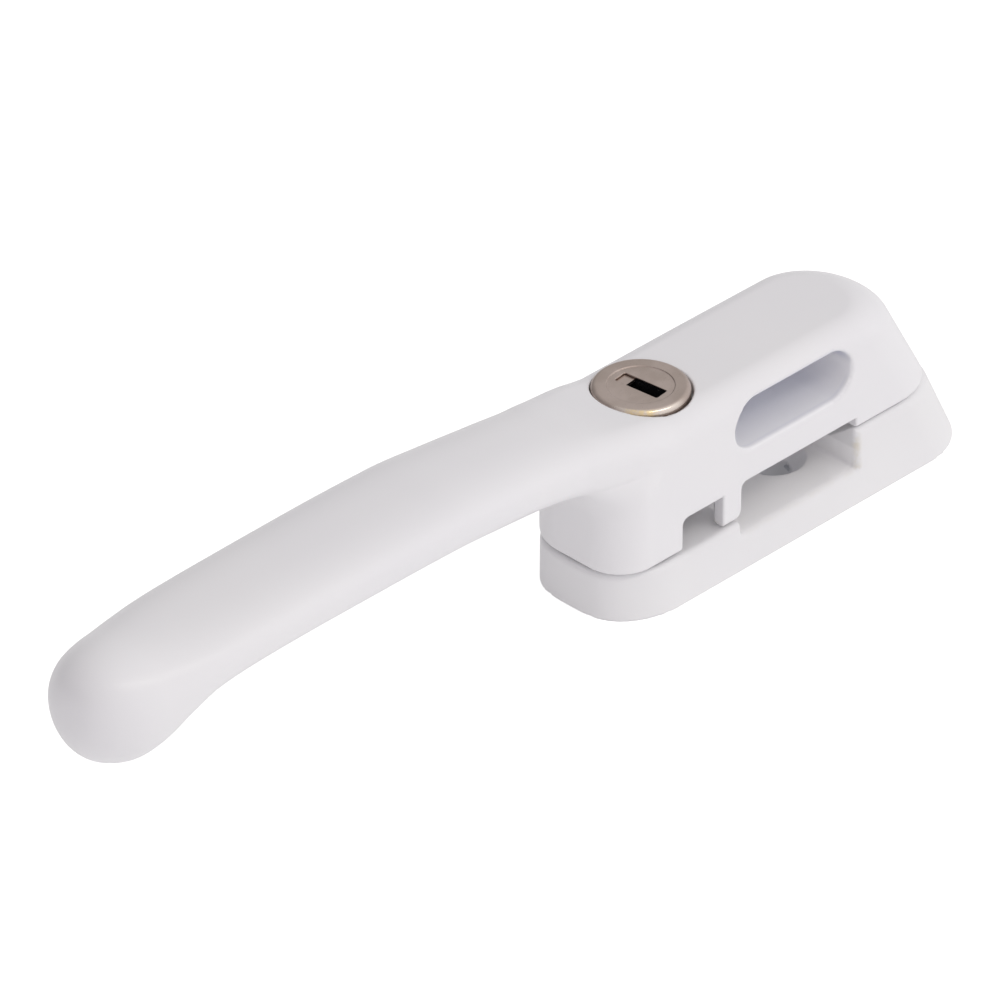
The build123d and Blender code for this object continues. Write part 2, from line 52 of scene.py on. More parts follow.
MM = 0.001
LOCK_X = -40.7              # lock axis, also the axis of the post on the base
LOCK_TURN = math.radians(6.0)   # turn of the key slot about the lock axis


# --- Fields: each skin is the zero level of a distance-like field, negative inside ---
def smooth(start, end, value):
    """Smooth step from 0 at start to 1 at end."""
    s = np.clip((value - start) / (end - start), 0.0, 1.0)
    return s * s * (3.0 - 2.0 * s)


def both(a, b, radius):
    """Intersection of a and b, with the edge between them rounded."""
    corner = np.hypot(np.maximum(radius + a, 0.0), np.maximum(radius + b, 0.0))
    return np.minimum(-radius, np.maximum(a, b)) + corner


def either(a, b, radius):
    """Union of a and b, with the inside corner between them filled."""
    corner = np.hypot(np.maximum(radius - a, 0.0), np.maximum(radius - b, 0.0))
    return np.maximum(radius, np.minimum(a, b)) - corner


def cut(body, tool, radius):
    """The body less the tool, with the new edge rounded."""
    return both(body, -tool, radius)


def rect(u, v, u_span, v_span, radius=0.0):
    """Rectangle in a plane, with rounded corners."""
    du = np.abs(u - (u_span[0] + u_span[1]) / 2) - (u_span[1] - u_span[0]) / 2 + radius
    dv = np.abs(v - (v_span[0] + v_span[1]) / 2) - (v_span[1] - v_span[0]) / 2 + radius
    outside = np.hypot(np.maximum(du, 0.0), np.maximum(dv, 0.0))
    return outside + np.minimum(np.maximum(du, dv), 0.0) - radius


def round_end(x, y, half, centre_x, lean):
    """Straight sides closed by a leaning half-round at +x; lean is its run in x per z."""
    dx = np.maximum(x - centre_x, 0.0)
    r = np.hypot(dx, y)
    return (r - half) / np.sqrt(1.0 + (lean * dx / np.maximum(r, 1e-6)) ** 2)


def lock_radius(x, y):
    return np.hypot(x - LOCK_X, y)


def curve(pairs):
    """Monotone cubic through (x, value) pairs, flat beyond the ends."""
    stations, values = np.array(sorted(pairs), dtype=float).T
    gap = np.diff(stations)
    rise = np.diff(values) / gap
    slope = np.zeros_like(values)
    for i in range(1, len(values) - 1):
        if rise[i - 1] * rise[i] > 0:
            w1, w2 = 2 * gap[i] + gap[i - 1], gap[i] + 2 * gap[i - 1]
            slope[i] = (w1 + w2) / (w1 / rise[i - 1] + w2 / rise[i])

    def at(x):
        inside = np.clip(x, stations[0], stations[-1])
        i = np.clip(np.searchsorted(stations, inside) - 1, 0, len(gap) - 1)
        t = (inside - stations[i]) / gap[i]
        t2, t3 = t * t, t * t * t
        return ((2 * t3 - 3 * t2 + 1) * values[i] + (t3 - 2 * t2 + t) * gap[i] * slope[i]
                + (3 * t2 - 2 * t3) * values[i + 1] + (t3 - t2) * gap[i] * slope[i + 1])
    return at


# --- From field to mesh ---
def graded(start, *parts):
    """Grid lines from start through parts of (end, step)."""
    lines = [start]
    for end, step in parts:
        count = max(1, int(round((end - start) / step)))
        lines.extend(np.linspace(start, end, count + 1)[1:])
        start = end
    return np.array(lines)


def gradient(field, points, step=0.02):
    slopes = np.empty_like(points)
    for axis in range(3):
        ahead, behind = points.T.copy(), points.T.copy()
        ahead[axis] += step
        behind[axis] -= step
        slopes[:, axis] = (field(*ahead) - field(*behind)) / (2 * step)
    return slopes


def surface_net(field, grid):
    """One vertex per crossed grid cell and one quad per crossed grid edge."""
    shape = np.array([len(lines) for lines in grid])
    level = np.empty(shape, dtype=np.float32)
    for i in range(0, shape[0], 16):    # in slabs, to save memory
        level[i:i + 16] = field(*np.meshgrid(grid[0][i:i + 16], *grid[1:], indexing="ij"))
    level[np.abs(level) < 2e-5] = 2e-5  # no grid point lies on the surface itself
    cell_ids, crossings, quads = [], [], []
    for axis in range(3):
        lower, upper = [slice(None)] * 3, [slice(None)] * 3
        lower[axis], upper[axis] = slice(0, -1), slice(1, None)
        below, above = level[tuple(lower)], level[tuple(upper)]
        edges = np.argwhere((below < 0) != (above < 0))
        below = below[tuple(edges.T)].astype(float)
        above = above[tuple(edges.T)].astype(float)
        points = np.stack([grid[k][edges[:, k]] for k in range(3)], axis=1)
        length = grid[axis][edges[:, axis] + 1] - grid[axis][edges[:, axis]]
        points[:, axis] += below / (below - above) * length

        # the four cells round each edge
        around = []
        for du, dv in ((-1, -1), (0, -1), (0, 0), (-1, 0)):
            cell = edges.copy()
            cell[:, (axis + 1) % 3] += du
            cell[:, (axis + 2) % 3] += dv
            around.append(cell)
        ok = np.ones(len(edges), bool)
        for cell in around:
            ok &= np.all((cell >= 0) & (cell < shape - 1), axis=1)
        ids = [((c[:, 0] * (shape[1] - 1) + c[:, 1]) * (shape[2] - 1) + c[:, 2])[ok]
               for c in around]
        cell_ids.extend(ids)
        crossings.extend([points[ok]] * 4)
        faces = np.stack(ids, axis=1)
        inward = ~(above > 0)[ok]
        faces[inward] = faces[inward][:, ::-1]
        quads.append(faces)

    used, owner = np.unique(np.concatenate(cell_ids), return_inverse=True)
    crossings = np.concatenate(crossings)
    count = np.bincount(owner)
    verts = np.stack([np.bincount(owner, crossings[:, k]) / count for k in range(3)], axis=1)
    return verts, np.searchsorted(used, np.concatenate(quads))


def skin(name, field, xs, ys, zs, reach):
    """Mesh of the field's zero level; vertices move at most reach to meet it."""
    start, quads = surface_net(field, (xs, ys, zs))
    verts = start.copy()
    for _ in range(4):
        level = field(*verts.T)
        g = gradient(field, verts)
        move = -level[:, None] * g / np.maximum((g * g).sum(1), 0.09)[:, None]
        offset = verts + np.clip(move, -reach, reach) - start
        far = np.linalg.norm(offset, axis=1)
        verts = start + offset * np.minimum(1.0, reach / np.maximum(far, 1e-9))[:, None]
    g = gradient(field, verts, step=0.03)
    normals = g / np.maximum(np.linalg.norm(g, axis=1), 1e-9)[:, None]
    return make_mesh(name, verts, quads, normals), verts


def make_mesh(name, verts, quads, normals):
    mesh = bpy.data.meshes.new(name)
    mesh.vertices.add(len(verts))
    mesh.vertices.foreach_set("co", (verts * MM).astype(np.float32).ravel())
    mesh.loops.add(quads.size)
    mesh.loops.foreach_set("vertex_index", quads.astype(np.int32).ravel())
    mesh.polygons.add(len(quads))
    mesh.polygons.foreach_set("loop_start", np.arange(0, quads.size, 4, dtype=np.int32))
    mesh.polygons.foreach_set("loop_total", np.full(len(quads), 4, dtype=np.int32))
    mesh.update(calc_edges=True)
    mesh.validate()
    mesh.polygons.foreach_set("use_smooth", np.ones(len(mesh.polygons), dtype=bool))
    # the normals fit only if validation has kept every vertex
    if len(mesh.vertices) == len(normals):
        mesh.normals_split_custom_set_from_vertices([tuple(n) for n in normals])
    return place(name, mesh)


def place(name, data):
    obj = bpy.data.objects.new(name, data)
    scene.collection.objects.link(obj)
    return obj


# --- Handle: body, leaning round end and lever as one skin ---
HANDLE_HALF = 9.9           # half width of the body
HANDLE_BOTTOM = 7.92
BLOCK_LEFT = -54.7          # the block is the straight-walled lower part of the body
BLOCK_TOP = 24.4
HANDLE_LEAN = 0.575
BALL_START = -136.0         # where the ball end begins
BALL_LENGTH = 10.35
BOSS_GAP_TOP = 11.85        # top of the clearance over the base's boss
WALL_INNER_Y = -7.6         # the slots in the -y wall stop here
SLOT_LEFT, SLOT_RIGHT = -31.2, -8.7
WAY_TOP = 12.9              # top of the clearances round the base's post
SEAT_RADIUS, SEAT_Z = 7.0, 26.2     # seat of the lock face
POCKET_X = (-32.5, -9.7)    # stadium pocket in the -y side
POCKET_Z = 22.125
POCKET_RADIUS = 3.825
POCKET_FLOOR_Y = 2.7

# x, half width, top, underside
LEVER = (
    (-54, 9.4, 30.4, 21.3), (-57.2, 9.08, 31.1, 21.85), (-60.5, 8.85, 31.6, 22.5),
    (-66, 8.85, 32.35, 23.4), (-75, 9.1, 33.25, 24.35), (-84, 9.35, 33.9, 25.1),
    (-95, 9.4, 34.0, 25.3), (-106, 9.35, 33.9, 25.3), (-116, 9.3, 33.75, 25.15),
    (-122, 9.3, 33.65, 24.8), (-127, 9.25, 33.65, 23.9), (-131.5, 9.15, 33.75, 21.6),
    (-136, 8.9, 33.95, 18.8), (-140, 8.49, 34.25, 17.65), (-143.4, 8.0, 34.6, 17.6),
    (-145.6, 7.75, 34.8, 17.8), (-146.8, 7.75, 34.85, 17.9),
)


def lever_curve(column, *body_pairs):
    """Curve through (x, value) pairs over the body and one column of LEVER."""
    return curve([*body_pairs, *((row[0], row[column]) for row in LEVER)])


half_width = lever_curve(1, (-47.5, HANDLE_HALF), (-49.5, 9.82), (-51.5, 9.65))
top_line = lever_curve(2, (0, 28.3), (-14, 28.42), (-30, 28.5), (-43, 28.5), (-45, 28.72),
                       (-48, 29.3), (-51, 29.85))
under_line = lever_curve(3, (-46, 20.7), (-50, 20.95))
# exponent of the lever's section: 2 is an ellipse, more is squarer
squareness = curve([
    (-46, 3.0), (-54, 2.8), (-60.5, 2.62), (-75, 2.5), (-116, 2.5), (-122, 2.45), (-127, 2.35),
    (-131.5, 2.25), (-136, 2.15), (-140, 2.05), (-146.8, 2.0)])


def handle_right(x, y, z):
    centre_x = 0.75 - HANDLE_LEAN * (z - 12.0)
    return round_end(x, y, HANDLE_HALF, centre_x, HANDLE_LEAN)


def lever_form(x, y, z):
    """Rounded box over the body, turning into the lever's section and ball end."""
    half, top, under, power = half_width(x), top_line(x), under_line(x), squareness(x)
    side = np.abs(y)
    plan = np.where(x > -40.0, handle_right(x, y, z), side - half)
    upper = both(plan, z - top, 4.0)
    upper = both(upper, under - z, 3.0)

    # section measures scaled to 1 at the surface, about a line just above mid-height
    widest_z = top - 0.46 * (top - under)
    dz = z - widest_z
    height = np.where(dz > 0, top - widest_z, widest_z - under)
    along = np.maximum(BALL_START - x, 0.0) / BALL_LENGTH
    across, upward = side / half, np.abs(dz) / height
    section = np.maximum(across ** power + upward ** power, 1e-9) ** (1.0 / power)
    ball_power = 2.5
    reach = (along ** ball_power + section ** ball_power) ** (1.0 / ball_power)
    # divide by the slope to bring the measure back to millimetres
    section_slope = np.hypot((across / section) ** (power - 1) / half,
                             (upward / section) ** (power - 1) / height)
    slope = np.hypot((along / reach) ** (ball_power - 1) / BALL_LENGTH,
                     (section / reach) ** (ball_power - 1) * section_slope)
    lever = (reach - 1.0) / np.maximum(slope, 0.06)
    share = smooth(-46.0, -63.0, x)
    return upper * (1.0 - share) + lever * share


def handle_outer(x, y, z):
    form = lever_form(x, y, z)
    corner = np.where(y < 0, 5.9, 7.8)
    left = both(BLOCK_LEFT - x, np.abs(y) - HANDLE_HALF, corner)
    block = np.maximum(np.maximum(handle_right(x, y, z), left), z - BLOCK_TOP)
    # soft inside corner where the lever's underside meets the block, none where they run flush
    step = 0.15
    down = (lever_form(x, y, z - step) - lever_form(x, y, z + step)) / (2 * step)
    radius = 5.0 * smooth(0.1, 0.95, down) * smooth(-45.0, -51.0, x) + 1e-4
    return either(form, block, radius)


def boss_clearance(x, y, z):
    return np.maximum(z - BOSS_GAP_TOP, np.minimum(SLOT_RIGHT - x, np.hypot(x, y) - 14.2))


def handle_cuts(x, y, z):
    pivot_r = np.hypot(x, y)
    lock_r = lock_radius(x, y)
    below_way = z - WAY_TOP
    wall = y - WALL_INNER_Y
    # long slot through the -y wall, its upper -x corner rounded
    slot = both(np.maximum(z - 13.45, x - SLOT_RIGHT), SLOT_LEFT - x, 1.0)
    # rounding of the wall's foot beside that slot
    foot = -both(x - SLOT_LEFT, HANDLE_BOTTOM - z, 1.5)
    # short notch through the same wall
    notch = both(np.maximum(below_way, x + 34.8), -42.6 - x, 1.0)
    return np.minimum.reduce([
        boss_clearance(x, y, z),
        np.maximum(slot, wall),
        np.maximum.reduce([foot, -33.0 - x, x + 31.0, y + 6.5, z - 9.8]),
        # hollow behind the wall
        np.maximum(rect(x, y, (SLOT_LEFT, -9.3), (-7.85, 7.85), 0.8), z - 16.4),
        np.maximum(notch, wall),
        # way for the post, curved about the pivot, and its link to the hollow
        np.maximum.reduce([np.abs(pivot_r - 40.175) - 3.755, np.abs(y + 1.825) - 6.025,
                           below_way, x + 28.0]),
        np.maximum(rect(x, y, (-38.0, -31.0), (-7.95, 4.2)), below_way),
        # pocket from below at the lever end
        np.maximum(rect(x, y, (-52.3, -49.2), (-5.25, 5.25), 1.0), z - 17.5),
        # lock bore, pin hole through the +y wall, spindle hole
        np.maximum(lock_r - 6.35, 12.5 - z),
        np.maximum(np.hypot(x - LOCK_X, z - 15.4) - 0.8, 5.0 - y),
        np.maximum(pivot_r - 4.0, z - 19.5),
    ])


def side_pocket(x, y, z):
    """Blind stadium pocket open to -y, the edge of its floor rounded."""
    nearest_x = np.clip(x, POCKET_X[0] + POCKET_RADIUS, POCKET_X[1] - POCKET_RADIUS)
    outline = np.hypot(x - nearest_x, z - POCKET_Z) - POCKET_RADIUS
    return both(outline, y - POCKET_FLOOR_Y, 0.8)


def handle_field(x, y, z):
    h = both(handle_outer(x, y, z), HANDLE_BOTTOM - z, 0.65)
    h = cut(h, side_pocket(x, y, z), 0.5 + 0.2 * smooth(21.5, 19.0, z))
    h = cut(h, np.maximum(lock_radius(x, y) - SEAT_RADIUS, SEAT_Z - z), 0.3)
    h = cut(h, boss_clearance(x, y, z), 0.6)
    return cut(h, handle_cuts(x, y, z), 0.3)


handle_skin, handle_verts = skin(
    "handle_skin", handle_field,
    xs=graded(-147.6, (-126, 0.55), (-60, 0.9), (-56, 0.45), (15.2, 0.33)),
    ys=graded(-10.4, (10.4, 0.33)),
    zs=graded(7.6, (35.0, 0.33)),
    reach=0.24)
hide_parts("handle")
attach(handle_skin, "handle")


# --- Base plate: tapered plan, boss at +x, recess, low deck at -x with a post ---
TAPER_HEIGHT = 12.0         # the tapers below are given over this height
BASE_LEAN = 5.3 / TAPER_HEIGHT
BOW_RADIUS = 24.0           # radius of the -x end in plan
BOSS_LEFT, BOSS_TOP = -8.8, 11.6
DECK_RIGHT, DECK_TOP = -31.5, 7.45
RECESS_Z = 5.55             # floor between boss and deck
SCREW_X = -14.7             # screw hole in the recess
SCREWS = ((SCREW_X, RECESS_Z), (-48.7, DECK_TOP))   # x, surface height
HEAD_RADIUS, SHANK_RADIUS, HEAD_DEPTH = 4.7, 2.65, 2.6
POST_RADIUS, POST_TOP, POST_FOOT = 2.6, 12.4, 6.5
POST_BORE, POST_SLOT_HALF = 1.9, 1.1


def base_plan(x, y, z):
    half = 10.75 - 0.65 / TAPER_HEIGHT * z
    left = -54.5 - 0.4 / TAPER_HEIGHT * z
    right = round_end(x, y, half, 6.0 - BASE_LEAN * z, BASE_LEAN)
    bow = np.hypot(x - left - BOW_RADIUS, y) - BOW_RADIUS
    return np.maximum(right, both(np.where(x < -20, bow, -9.0), np.abs(y) - half, 6.4))


def base_field(x, y, z):
    boss = both(z - BOSS_TOP, BOSS_LEFT - x, 0.25)
    deck = both(z - DECK_TOP, x - DECK_RIGHT, 0.5)
    profile = either(either(boss, z - RECESS_Z, 0.35), deck, 0.6)
    # the rim is a little rounder along the recess and round the +x end
    rim = (0.95 + 0.2 * smooth(-9.3, -10.8, x) * smooth(-31.7, -30.2, x)
           + 0.35 * smooth(-1.0, 4.0, x))
    b = both(base_plan(x, y, z), profile, rim)
    b = both(b, -z, 0.15)
    for screw_x, face in SCREWS:
        r = np.hypot(x - screw_x, y)
        cone = (r - HEAD_RADIUS - (z - face)) * 0.7071
        hole = np.minimum(r - SHANK_RADIUS, np.maximum(cone, face - HEAD_DEPTH - z))
        b = cut(b, hole, 0.1)
    # pivot bore, wider below z = 5
    r = np.hypot(x, y)
    b = cut(b, np.minimum(r - 5.25, np.maximum(r - 8.0, z - 5.0)), 0.2)
    # hollow post, slotted on its +y side
    r = lock_radius(x, y)
    post = np.maximum(both(r - POST_RADIUS, z - POST_TOP, 0.3), POST_FOOT - z)
    slit = np.maximum(np.abs(x - LOCK_X) - POST_SLOT_HALF, -y)
    hole = np.maximum(np.minimum(r - POST_BORE, slit), DECK_TOP - z)
    b = either(b, cut(post, hole, 0.15), 0.25)
    return cut(b, hole, 0.1)


base_skin, base_verts = skin(
    "base_plate_skin", base_field,
    xs=graded(-55.6, (17.4, 0.34)),
    ys=graded(-11.0, (11.0, 0.34)),
    zs=graded(-0.6, (12.9, 0.34)),
    reach=0.25)
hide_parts("base_plate")
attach(base_skin, "base")


# --- Lock face: hollow cap with a sunk disc and the key slot ---
FACE_RADIUS = 6.8
FACE_BOTTOM, FACE_TOP = 27.3, 29.25
FACE_INNER_RADIUS, FACE_INNER_TOP = 6.45, 28.85
DISC_RADIUS, DISC_Z = 4.6, 29.13
FACE_SHIFT = 0.07           # the cap sits off the lock axis by this to -x and +y
FACE_GRID_HALF = 7.2


def face_field(x, y, z):
    dx = x + FACE_SHIFT - LOCK_X
    dy = y - FACE_SHIFT
    c, s = math.cos(LOCK_TURN), math.sin(LOCK_TURN)
    across, along = c * dx + s * dy, -s * dx + c * dy
    r = np.hypot(across, along)
    f = both(r - FACE_RADIUS, z - FACE_TOP, 0.75)
    f = both(f, FACE_BOTTOM - z, 0.08)
    f = cut(f, np.maximum(r - FACE_INNER_RADIUS, z - FACE_INNER_TOP), 0.05)
    f = cut(f, np.maximum(r - DISC_RADIUS, DISC_Z - z), 0.1)
    return cut(f, rect(across, along, (-1.15, 1.15), (-3.6, 3.6), 0.25), 0.08)


face_skin, face_verts = skin(
    "plug_scalp_skin", face_field,
    xs=graded(LOCK_X - FACE_GRID_HALF, (LOCK_X + FACE_GRID_HALF, 0.11)),
    ys=graded(-FACE_GRID_HALF, (FACE_GRID_HALF, 0.11)),
    zs=graded(27.1, (29.5, 0.1)),
    reach=0.08)
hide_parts("plug_scalp")
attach(face_skin, "plug")


# --- Shader building ---
def put(socket, value):
    """Link a socket to an input, or set its value; colours are given as (r, g, b)."""
    if isinstance(value, bpy.types.NodeSocket):
        socket.id_data.links.new(value, socket)
    elif socket.type == "RGBA":
        socket.default_value = (*value, 1.0)
    else:
        socket.default_value = value


class Shader:
    """Adds nodes to an emptied tree; most methods return an output socket."""

    def __init__(self, tree):
        self.tree = tree
        tree.nodes.clear()

    def node(self, kind, inputs=None, **settings):
        node = self.tree.nodes.new("ShaderNode" + kind)
        for key, value in settings.items():
            setattr(node, key, value)
        for key, value in (inputs or {}).items():
            put(node.inputs[key], value)
        return node

    @cached_property
    def position(self):
        return self.node("TexCoord").outputs["Object"]

    def mapping(self, scale=(1, 1, 1), loc=(0, 0, 0), rot=(0, 0, 0)):
        return self.node("Mapping", {"Vector": self.position, "Location": loc,
                                     "Rotation": rot, "Scale": scale}).outputs[0]

    def noise(self, scale, detail=2.0, rough=0.5, at=None):
        return self.node("TexNoise", {"Vector": at or self.position, "Scale": scale,
                                      "Detail": detail, "Roughness": rough}).outputs["Fac"]

    def attribute(self, name):
        return self.node("Attribute", attribute_name=name).outputs["Fac"]

    def math(self, operation, a, b=0.0, clamp=False):
        return self.node("Math", {0: a, 1: b}, operation=operation, use_clamp=clamp).outputs[0]

    def times(self, a, b):
        return self.math("MULTIPLY", a, b)

    def ramp(self, value, over=(0.3, 0.7), to=(0.0, 1.0)):
        """Smooth step that carries the range over onto the range to."""
        return self.node("MapRange", {
            "Value": value, "From Min": over[0], "From Max": over[1],
            "To Min": to[0], "To Max": to[1]}, interpolation_type="SMOOTHSTEP").outputs[0]

    def layer(self, under, top, amount, strength=None, blend="MIX"):
        """Lay top over under by amount, scaled by strength where given."""
        if strength is not None:
            amount = self.times(amount, strength)
        return self.node("Mix", {0: amount, 6: under, 7: top},
                         data_type="RGBA", blend_type=blend).outputs[2]

    def bump(self, height, strength, distance, under=None):
        inputs = {"Height": height, "Strength": strength, "Distance": distance}
        if under is not None:
            inputs["Normal"] = under
        return self.node("Bump", inputs).outputs[0]

    def surface(self, **inputs):
        inputs = {key.replace("_", " "): value for key, value in inputs.items()}
        principled = self.node("BsdfPrincipled", inputs)
        self.node("OutputMaterial", {0: principled.outputs[0]})


def new_material(name, build, **values):
    material = bpy.data.materials.new(name)
    material.use_nodes = True
    build(Shader(material.node_tree), **values)
    return material


# --- Materials ---
def powder_coat(m, tone, seed, hole_shadow_at=None):
    """White coat; seed shifts the noise, mark is the place of a painted shadow spot."""
    at = m.mapping(loc=(seed, seed * 0.37, seed * 0.71))
    broad = m.noise(scale=45.0, at=at)
    shade = (tone[0] * 0.985, tone[1] * 0.985, tone[2] * 0.992)
    colour = m.layer(shade, tone, amount=m.ramp(broad))
    # thin coat on the sharpest edges lets a yellowish primer through
    patches = m.ramp(m.noise(scale=420.0, detail=3.0, rough=0.6, at=at), over=(0.35, 0.65))
    thin = m.times(m.attribute("thin"), patches)
    colour = m.layer(colour, (0.66, 0.60, 0.46), amount=thin, strength=0.75)
    # dust nibs: the middles of a few random cells
    cells = m.node("TexVoronoi", {"Vector": at, "Scale": 260.0}).outputs
    middle = m.math("LESS_THAN", cells["Distance"], 0.055)
    chosen = m.math("GREATER_THAN", m.math("FRACT", m.times(cells["Color"], 7.31)), 0.972)
    colour = m.layer(colour, (0.36, 0.33, 0.33), amount=m.times(middle, chosen), strength=0.45)
    # painted light and shade in deep areas: a lighter white where they should look brighter, a
    # painted blue-grey shade where light barely reaches
    colour = m.layer(colour, (0.985, 0.978, 0.985), amount=m.attribute("painted_light"))
    colour = m.layer(colour, (0.60, 0.62, 0.73), amount=m.attribute("painted_shade"))
    if hole_shadow_at:
        # painted shadow: a dark spot with a ragged edge in a countersink, standing in for the
        # shade deep in the screw hole
        away = m.node("VectorMath", {0: m.position, 1: hole_shadow_at}, operation="DISTANCE")
        ragged = m.ramp(m.noise(scale=1500.0, rough=0.6), to=(-0.00022, 0.00022))
        spot = m.ramp(m.math("ADD", away.outputs["Value"], ragged), over=(0.00075, 0.0002))
        colour = m.layer(colour, (0.20, 0.23, 0.29), amount=spot, strength=0.6)
    peel = m.noise(scale=950.0, rough=0.45, at=at)
    fine = m.noise(scale=3600.0, at=at)
    normal = m.bump(peel, strength=0.55, distance=0.000012)
    normal = m.bump(fine, strength=0.35, distance=0.000003, under=normal)
    rough = m.math("ADD", m.ramp(broad, to=(0.30, 0.36)), m.ramp(fine, to=(-0.02, 0.03)))
    m.surface(Base_Color=colour, Roughness=rough, Normal=normal, Specular_IOR_Level=0.5,
              Coat_Weight=0.14, Coat_Roughness=0.22)


def keyway_mask(m):
    """1 inside an upright block round the key slot, 0 elsewhere."""
    c, s = math.cos(-LOCK_TURN), math.sin(-LOCK_TURN)
    at = m.mapping(loc=(-LOCK_X * MM * c, -LOCK_X * MM * s, 0), rot=(0, 0, -LOCK_TURN))
    axes = m.node("SeparateXYZ", {0: at}).outputs
    half_sizes = (0.00165, 0.0039)
    in_x, in_y = (m.math("LESS_THAN", m.math("ABSOLUTE", axes[k]), half_sizes[k])
                  for k in range(2))
    return m.times(in_x, in_y)


def metal(m, tone, rough, grain, stretch=(1, 1, 1), stain=None, keyway=False):
    """Worked metal: drawn or turned grain, small pits, a little colour drift."""
    lines = m.noise(scale=grain, detail=4.0, rough=0.65, at=m.mapping(scale=stretch))
    drift = m.noise(scale=180.0)
    colour = m.layer(tuple(c * 0.82 for c in tone), tone, amount=m.ramp(drift))
    colour = m.layer(colour, tuple(min(1.0, c * 1.12) for c in tone),
                     amount=m.ramp(lines, over=(0.35, 0.75), to=(0.0, 0.18)))
    if stain:
        patches = m.ramp(m.noise(scale=700.0, detail=3.0, rough=0.6), over=(0.58, 0.72))
        colour = m.layer(colour, stain, amount=patches, strength=0.55)
    pits = m.ramp(m.noise(scale=2600.0), over=(0.66, 0.74))
    normal = m.bump(lines, strength=0.25, distance=0.00001)
    normal = m.bump(pits, strength=0.2, distance=0.000008, under=normal)
    metallic = 1.0
    if keyway:
        # painted shade: the key way's walls made near black to stand in for the dark depth of the
        # slot, with a few painted glints
        inside = keyway_mask(m)
        glint = m.ramp(m.noise(scale=1900.0, detail=1.0, rough=0.4), over=(0.74, 0.80))
        keyway_shade = m.layer((0.012, 0.012, 0.014), (0.30, 0.30, 0.30), amount=glint, strength=0.5)
        colour = m.layer(colour, keyway_shade, amount=inside)
        metallic = m.math("SUBTRACT", 1.0, m.times(inside, 0.9))
    grain_rough = m.ramp(lines, to=(rough - 0.06, rough + 0.06))
    m.surface(Base_Color=colour, Metallic=metallic, Normal=normal,
              Roughness=m.math("ADD", grain_rough, m.times(pits, 0.1)))


def satin_nickel(m):
    """Satin plate with faint lines and small scuffs, and a painted highlight on part of its rim.
    """
    base = m.noise(scale=1600.0, detail=3.0, rough=0.6)
    turned = m.mapping(scale=(1.0, 5.0, 1.0), rot=(0, 0, 0.6))
    lines = m.noise(scale=1500.0, detail=4.0, rough=0.7, at=turned)
    drift = m.ramp(m.noise(scale=230.0), over=(0.32, 0.68))
    colour = m.layer((0.47, 0.39, 0.345), (0.565, 0.475, 0.43), amount=drift)
    colour = m.layer(colour, (0.66, 0.60, 0.55),
                     amount=m.ramp(lines, over=(0.55, 0.8), to=(0.0, 0.35)))
    scuff = m.ramp(m.noise(scale=5200.0, rough=0.6), over=(0.64, 0.72))
    colour = m.layer(colour, (0.24, 0.21, 0.19), amount=scuff, strength=0.25)
    normal = m.bump(base, strength=0.35, distance=0.000010)
    normal = m.bump(lines, strength=0.25, distance=0.000006, under=normal)
    normal = m.bump(scuff, strength=0.25, distance=0.000006, under=normal)
    # painted highlight: a lighter arc on the rim, brassy in streaks, where a lamp's reflection
    # falls; the arc is also made less rough
    rim = m.attribute("rim")
    streak = m.ramp(m.noise(scale=2300.0, rough=0.6), over=(0.38, 0.60))
    gold_highlight = m.times(m.attribute("gold_highlight"), m.math("ADD", 0.35, m.times(streak, 0.65)))
    colour = m.layer(colour, (0.80, 0.72, 0.65), amount=rim, strength=0.75)
    colour = m.layer(colour, (0.84, 0.68, 0.42), amount=gold_highlight)
    rough = m.layer(m.ramp(lines, over=(0.3, 0.75), to=(0.27, 0.40)),
                    m.ramp(lines, over=(0.3, 0.75), to=(0.19, 0.28)), amount=rim)
    m.surface(Base_Color=colour, Metallic=1.0, Normal=normal, Roughness=rough, Anisotropic=0.15)


def nylon(m):
    grain = m.noise(scale=900.0, detail=3.0, rough=0.6)
    colour = m.layer((0.035, 0.035, 0.037), (0.055, 0.054, 0.054), amount=m.ramp(grain))
    m.surface(Base_Color=colour, Roughness=m.ramp(grain, to=(0.42, 0.55)),
              Normal=m.bump(grain, strength=0.3, distance=0.00002))


def floor_white(m):
    """White floor that glows, more so when seen directly."""
    seen = m.node("LightPath").outputs["Is Camera Ray"]
    m.surface(Base_Color=(0.86, 0.86, 0.86), Roughness=0.9, Specular_IOR_Level=0.1,
              Emission_Color=(1, 0.995, 0.99),
              Emission_Strength=m.math("ADD", 0.175, m.times(seen, 0.48)))


